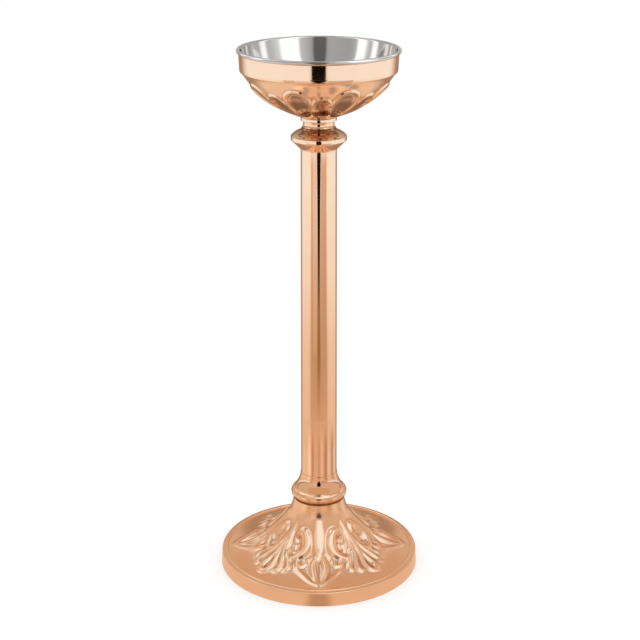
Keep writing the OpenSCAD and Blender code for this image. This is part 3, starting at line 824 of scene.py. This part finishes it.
# %% The world, by direction
WARM_WALL = (0.66, 0.50, 0.40, 1)
DIM_WALL = (0.42, 0.30, 0.22, 1)
WARM_CEILING = (0.66, 0.44, 0.31, 1)
SOFT_WHITE = (1.10, 1.14, 1.20, 1)
WHITE = (1, 1, 1, 1)
DEGREES = 180 / math.pi
WINDOW_EDGE = 6.0  # degrees over which a window falls off
TO_DIM = (70.0, 115.0)  # bearings between which the wall turns dim
TO_CEILING = (12.0, 28.0)  # rises between which the wall turns into the ceiling
# (bearing from, to, rise from, to), strength
WINDOWS = [
    ((-16, 70, 38, 82), 1.0), ((-72, -16, 40, 66), 0.5), ((-150, -92, 42, 70), 0.9),
    ((62, 104, 36, 60), 0.7), ((118, 152, 24, 38), 0.5), ((-152, -118, 24, 38), 0.5),
]


def bearing(tree, vector):
    """The bearing of a vector, and its height."""
    parts = split(tree, vector)
    ahead = calc(tree, "MULTIPLY", parts["Y"], -1.0)
    return calc(tree, "MULTIPLY", calc(tree, "ARCTAN2", parts["X"], ahead), DEGREES), parts["Z"]


def between(tree, value, low, high, edge):
    """A share that is 1 from low to high and falls off at both ends."""
    return calc(tree, "MULTIPLY", ramp(tree, value, low - edge, low + edge),
                ramp(tree, value, high + edge, high - edge))


world = bpy.data.worlds.new("Studio")
bpy.context.scene.world = world
world.use_nodes = True
tree = world.node_tree
tree.nodes.clear()
turn, height = bearing(tree, add(tree, "ShaderNodeTexCoord").outputs["Generated"])
rise = calc(tree, "MULTIPLY", calc(tree, "ARCSINE", height), DEGREES)
to_back = ramp(tree, calc(tree, "ABSOLUTE", turn), *TO_DIM)
room = mix_colour(tree, to_back, WARM_WALL, DIM_WALL)
room = mix_colour(tree, ramp(tree, rise, *TO_CEILING), room, WARM_CEILING)
for (turn_from, turn_to, rise_from, rise_to), strength in WINDOWS:
    share = calc(tree, "MULTIPLY", between(tree, turn, turn_from, turn_to, WINDOW_EDGE),
                 between(tree, rise, rise_from, rise_to, WINDOW_EDGE))
    room = mix_colour(tree, calc(tree, "MULTIPLY", share, strength), room, SOFT_WHITE)
for_metal = add(tree, "ShaderNodeBackground", {"Color": room, "Strength": 1.0})
for_eye = add(tree, "ShaderNodeBackground", {"Color": WHITE, "Strength": 1.0})
path = add(tree, "ShaderNodeLightPath")
seen = add(tree, "ShaderNodeMixShader", {0: path.outputs["Is Glossy Ray"],
                                         1: for_eye.outputs[0], 2: for_metal.outputs[0]})
add(tree, "ShaderNodeOutputWorld", {"Surface": seen.outputs[0]})
print("world:", world.name, "with", len(WINDOWS), "windows")

# %% [markdown]
# ## The floor
#
# To the eye the floor is pale paper that runs out to pure white, with a faint shadow under the
# stand. To the metal it glows with painted colours, by its distance from the foot: darker straight
# ahead, paler at the sides and dim behind. A painted shadow of the black card darkens its centre
# line, and a painted dark patch lies at the foot. Light and dark streaks near the foot give the
# collar and the foot of the tube their narrow bands.

# %% Colours by distance or bearing
# (bearing, level), which multiply the floor round the foot
STREAKS = [
    (-95, 1.0), (-75, 1.0), (-66, 1.25), (-52, 1.28), (-44, 0.74), (-36, 0.76), (-28, 1.04),
    (-10, 1.06), (-3, 0.82), (4, 0.86), (12, 1.16), (24, 1.2), (31, 1.0), (38, 0.68), (48, 0.68),
    (56, 1.0), (66, 1.08), (76, 0.95), (86, 0.6), (96, 0.62), (110, 1.0)]
# (metres, colour)
AHEAD = [
    (0.2, (0.84, 0.60, 0.46, 1)), (0.38, (0.76, 0.51, 0.37, 1)), (0.60, (0.72, 0.47, 0.34, 1)),
    (1.1, (0.60, 0.40, 0.27, 1)), (1.5, (0.82, 0.64, 0.52, 1)), (2.6, (1.0, 1.06, 1.14, 1))]
BESIDE = [
    (0.24, (0.84, 0.60, 0.46, 1)), (0.36, (0.88, 0.70, 0.56, 1)), (0.70, (0.87, 0.70, 0.57, 1)),
    (1.2, (0.92, 0.78, 0.68, 1)), (1.8, (1.0, 0.97, 0.95, 1)), (3.0, (1.02, 1.08, 1.16, 1))]
BEHIND = (0.42, 0.27, 0.18, 1)
# painted shadow of the black camera card, seen only in reflections
CARD_SHADOW_BROWN = (0.32, 0.17, 0.09, 1)
# painted dark patch at the foot, seen only in reflections
FOOT_BROWN = (0.36, 0.20, 0.12, 1)
TO_SIDE, TO_BACK = (46.0, 66.0), (118.0, 150.0)  # bearings


def by_stops(tree, value, stops):
    """A colour that follows stops of (value, colour), blended between them."""
    colour = stops[0][1]
    for (near, _), (far, paint) in zip(stops, stops[1:]):
        colour = mix_colour(tree, ramp(tree, value, near, far, shape="LINEAR"), colour, paint)
    return colour


def greys(tree, value, levels):
    """A grey that follows stops of (value, level)."""
    return by_stops(tree, value, [(at, (level, level, level, 1)) for at, level in levels])


def round_the_foot(tree, aside, ahead, beside):
    """ahead straight in front, beside at the sides and a dim brown behind."""
    colour = mix_colour(tree, ramp(tree, aside, *TO_SIDE), ahead, beside)
    return mix_colour(tree, ramp(tree, aside, *TO_BACK), colour, BEHIND)


print(len(STREAKS), "streaks round the foot")

# %% The floor's two looks
PAPER_GREY = (0.55, 0.55, 0.55, 1)
PAPER_GLOW = 0.5
TO_WHITE = (0.35, 1.1)  # metres between which the paper turns white
CENTRE_HALF = (14.0, 6.0)  # bearings between which the painted shadow of the black card darkens the centre line
CENTRE_FROM = (0.6, 1.2)  # metres between which it starts
CENTRE_SHARE = 0.9
STREAKS_FROM, STREAKS_TO = (0.25, 0.29), (0.66, 0.56)  # metres
UNDER_HALF, UNDER_TO, UNDER_SHARE = (11.0, 3.0), (0.27, 0.23), 0.6  # a painted dark patch at the foot, which the base's band reflects


def glow(tree, colour, strength=1.0):
    """An emission shader."""
    node = add(tree, "ShaderNodeEmission", {"Color": colour, "Strength": strength})
    return node.outputs[0]


def blank_material(name):
    """A material without nodes, and its tree."""
    paint = bpy.data.materials.new(name)
    paint.use_nodes = True
    paint.node_tree.nodes.clear()
    return paint, paint.node_tree


paper, tree = blank_material("Floor paper")
where = object_point(tree)
distance = add(tree, "ShaderNodeVectorMath", {0: where}, operation="LENGTH").outputs["Value"]
grey_paper = add(tree, "ShaderNodeBsdfDiffuse", {"Color": PAPER_GREY})
lit_paper = add(tree, "ShaderNodeAddShader", {0: grey_paper.outputs[0],
                                              1: glow(tree, WHITE, PAPER_GLOW)})
to_eye = add(tree, "ShaderNodeMixShader", {0: ramp(tree, distance, *TO_WHITE),
                                           1: lit_paper.outputs[0], 2: glow(tree, WHITE)})
angle, _ = bearing(tree, where)
aside = calc(tree, "ABSOLUTE", angle)
warm = round_the_foot(tree, aside, by_stops(tree, distance, AHEAD),
                      by_stops(tree, distance, BESIDE))
# a painted shadow of the black camera card along the centre line, from 0.6 m out
card_shadow = calc(tree, "MULTIPLY", ramp(tree, aside, *CENTRE_HALF),
                   ramp(tree, distance, *CENTRE_FROM))
warm = mix_colour(tree, calc(tree, "MULTIPLY", card_shadow, CENTRE_SHARE), warm, CARD_SHADOW_BROWN)
streaked = calc(tree, "MULTIPLY", ramp(tree, distance, *STREAKS_FROM),
                ramp(tree, distance, *STREAKS_TO))
warm = mix_colour(tree, streaked, warm, greys(tree, angle, STREAKS), "MULTIPLY")
# a painted dark patch just in front of the foot, which the upright band of the base reflects
under_foot = calc(tree, "MULTIPLY", ramp(tree, aside, *UNDER_HALF), ramp(tree, distance, *UNDER_TO))
warm = mix_colour(tree, calc(tree, "MULTIPLY", under_foot, UNDER_SHARE), warm, FOOT_BROWN)
# reflections see the floor's painted colours as a glow
path = add(tree, "ShaderNodeLightPath")
pick = add(tree, "ShaderNodeMixShader", {0: path.outputs["Is Glossy Ray"],
                                         1: to_eye.outputs[0], 2: glow(tree, warm)})
add(tree, "ShaderNodeOutputMaterial", {"Surface": pick.outputs[0]})
print(paper.name, "has", len(tree.nodes), "nodes")

# %% The floor
FLOOR_RADIUS, FLOOR_STEPS = 14.0, 96
bm = bmesh.new()
bmesh.ops.create_circle(bm, cap_ends=True, segments=FLOOR_STEPS, radius=FLOOR_RADIUS)
floor = in_scene("Floor", bm, paper)
print("floor:", FLOOR_RADIUS, "m in radius")

# %% [markdown]
# ## The cards
#
# In a studio, cards stand round polished metal to draw its bands. Here a tall black card in
# front gives every turned piece its dark centre line, and three low warm cards beside it give
# the tube its deeper bands. Their edges are soft, and only reflections see them.

# %% The cards
BLACK = (0.008, 0.004, 0.003, 1)


def card(name, azimuth, distance, width, low, high, colour, edge, top_colour=None, foot=1.0):
    """An upright soft-edged rectangle that only reflections see. foot narrows it to the floor."""
    tall = high - low
    bm = bmesh.new()
    bmesh.ops.create_grid(bm, x_segments=1, y_segments=1, size=0.5)
    bmesh.ops.scale(bm, vec=(width, tall, 1), verts=bm.verts)
    paint, tree = blank_material(name)
    parts = split(tree, object_point(tree))
    half = ramp(tree, parts["Y"], -tall / 2, tall / 2, foot * width / 2, width / 2, "LINEAR")
    across = ramp(tree, calc(tree, "SUBTRACT", half, calc(tree, "ABSOLUTE", parts["X"])), 0.0, edge)
    up = ramp(tree, parts["Y"], tall / 2, tall / 2 - edge)
    down = ramp(tree, parts["Y"], -tall / 2, edge - tall / 2) if low > 0 else 1.0
    share = calc(tree, "MULTIPLY", across, calc(tree, "MULTIPLY", up, down))
    shade = mix_colour(tree, ramp(tree, parts["Y"], -tall / 2, tall / 2), colour,
                       top_colour or colour)
    clear = add(tree, "ShaderNodeBsdfTransparent").outputs[0]
    both = add(tree, "ShaderNodeMixShader", {0: share, 1: clear, 2: glow(tree, shade)})
    add(tree, "ShaderNodeOutputMaterial", {"Surface": both.outputs[0]})
    piece = in_scene(name, bm, paint)
    a = math.radians(azimuth)
    piece.location = (distance * math.sin(a), -distance * math.cos(a), (low + high) / 2)
    piece.rotation_euler = (math.pi / 2, 0, a)
    piece.visible_camera = piece.visible_diffuse = piece.visible_shadow = False
    print(f"{name}: {width} m wide, {low} to {high} m high, {distance} m away")


card("CameraCard", azimuth=0, distance=1.5, width=0.52, low=0.46, high=0.86, colour=BLACK,
     edge=0.02)
card("CameraCardFoot", azimuth=0, distance=1.5, width=0.74, low=0.0, high=0.50, colour=BLACK,
     edge=0.03, foot=0.10)
card("WarmCardRight", azimuth=31, distance=1.15, width=0.82, low=0.0, high=0.54,
     colour=(0.60, 0.41, 0.29, 1), edge=0.06, top_colour=(0.76, 0.54, 0.42, 1))
card("WarmCardLeft", azimuth=-42, distance=1.15, width=0.42, low=0.0, high=0.54,
     colour=(0.62, 0.43, 0.30, 1), edge=0.06, top_colour=(0.80, 0.62, 0.52, 1))
card("PaleCardLeft", azimuth=-22, distance=1.16, width=0.40, low=0.0, high=0.54,
     colour=(0.70, 0.49, 0.36, 1), edge=0.06, top_colour=(0.92, 0.75, 0.66, 1))

# %% [markdown]
# ## Rings that only reflections see
#
# A wide flat ring out in the room, a little below the knop, is a warm ceiling to what stands
# under it and a warm floor to the knop and the bowl. A low upright ring round the foot is
# coloured like the floor, and the neck of the bell sees it. A drum of light over the bowl gives
# the liner its bright and dark bars.

# %% A ring of light
CANOPY_LIGHT = (0.72, 0.54, 0.42, 1)
CANOPY_INNER, CANOPY_GROWTH, CANOPY_HEIGHT = 1.25, 6.4, 0.75
CANOPY_STEPS = 64


def stage_ring(name, bm, paint_colour):
    """A glowing stage piece. paint_colour makes its colour from the node tree."""
    paint, tree = blank_material(name)
    add(tree, "ShaderNodeOutputMaterial", {"Surface": glow(tree, paint_colour(tree))})
    piece = in_scene(name, bm, paint)
    piece.visible_camera = piece.visible_diffuse = piece.visible_shadow = False
    print(f"{name}: {len(piece.data.polygons)} faces")


bm = bmesh.new()
bmesh.ops.create_circle(bm, cap_ends=False, segments=CANOPY_STEPS, radius=CANOPY_INNER)
outer = bmesh.ops.extrude_edge_only(bm, edges=bm.edges[:])["geom"]
outer = [item for item in outer if isinstance(item, bmesh.types.BMVert)]
bmesh.ops.scale(bm, vec=(CANOPY_GROWTH, CANOPY_GROWTH, 1), verts=outer)
bmesh.ops.translate(bm, vec=(0, 0, CANOPY_HEIGHT), verts=bm.verts)
stage_ring("WarmCanopy", bm, lambda tree: CANOPY_LIGHT)

# %% The low ring and the drum
SKIRT_RADIUS, SKIRT_LOW, SKIRT_HIGH = 0.40, 0.06, 0.13
SKIRT_AHEAD, SKIRT_BESIDE = (0.75, 0.51, 0.37, 1), (0.86, 0.66, 0.52, 1)
DRUM_RADIUS, DRUM_LOW, DRUM_HIGH = 0.35, 0.94, 2.56
RING_STEPS = 96
# (bearing, level) round the drum
LEVELS = [
    (-180, 0.5), (-119, 0.55), (-113, 1.5), (-107, 1.5), (-100, 0.62), (-94, 0.8), (-87, 1.5),
    (-75, 1.6), (-69, 0.6), (-58, 0.5), (-24, 0.54), (-16, 0.5), (-12, 0.16), (8, 0.16),
    (13, 0.5), (21, 0.62), (33, 0.74), (39, 1.6), (68, 1.6), (76, 0.92), (90, 0.7), (99, 0.66),
    (105, 1.4), (112, 1.4), (119, 0.6), (180, 0.5)]


def open_drum(radius, low, high):
    """An upright wall round the centre line."""
    bm = bmesh.new()
    bmesh.ops.create_cone(bm, cap_ends=False, segments=RING_STEPS, radius1=radius,
                          radius2=radius, depth=high - low)
    bmesh.ops.translate(bm, vec=(0, 0, (low + high) / 2), verts=bm.verts)
    return bm


def skirt_light(tree):
    """The floor's colours, with its streaks at the lower edge."""
    theta, height = bearing(tree, object_point(tree))
    warm = round_the_foot(tree, calc(tree, "ABSOLUTE", theta), SKIRT_AHEAD, SKIRT_BESIDE)
    low = ramp(tree, height, SKIRT_HIGH, SKIRT_LOW)
    return mix_colour(tree, low, warm, greys(tree, theta, STREAKS), "MULTIPLY")


def drum_light(tree):
    """Bright and dark bars, by bearing."""
    theta, _ = bearing(tree, object_point(tree))
    return greys(tree, theta, LEVELS)


stage_ring("WarmSkirt", open_drum(SKIRT_RADIUS, SKIRT_LOW, SKIRT_HIGH), skirt_light)
stage_ring("LinerDrum", open_drum(DRUM_RADIUS, DRUM_LOW, DRUM_HIGH), drum_light)

# %% [markdown]
# ## The camera
#
# The camera stands in front, above the rim, and looks down a little, so that the far inside of
# the liner shows over the lip and the whole ornament of the base is seen.

# %% Camera
LENS, SENSOR = 82.97, 36.0  # millimetres
LOOKS_DOWN = 19.44  # degrees
STANDS_AT = (0.002, -2.434, 1.325)
SEES_TO = 60.0
camera_data = bpy.data.cameras.new("Camera")
camera_data.lens = LENS
camera_data.sensor_width = SENSOR
camera_data.clip_end = SEES_TO
camera = bpy.data.objects.new("Camera", camera_data)
camera.location = STANDS_AT
camera.rotation_euler = (math.radians(90 - LOOKS_DOWN), 0, 0)
bpy.context.scene.collection.objects.link(camera)
bpy.context.scene.camera = camera
bpy.context.scene.view_settings.view_transform = "Standard"
print("camera at", STANDS_AT)
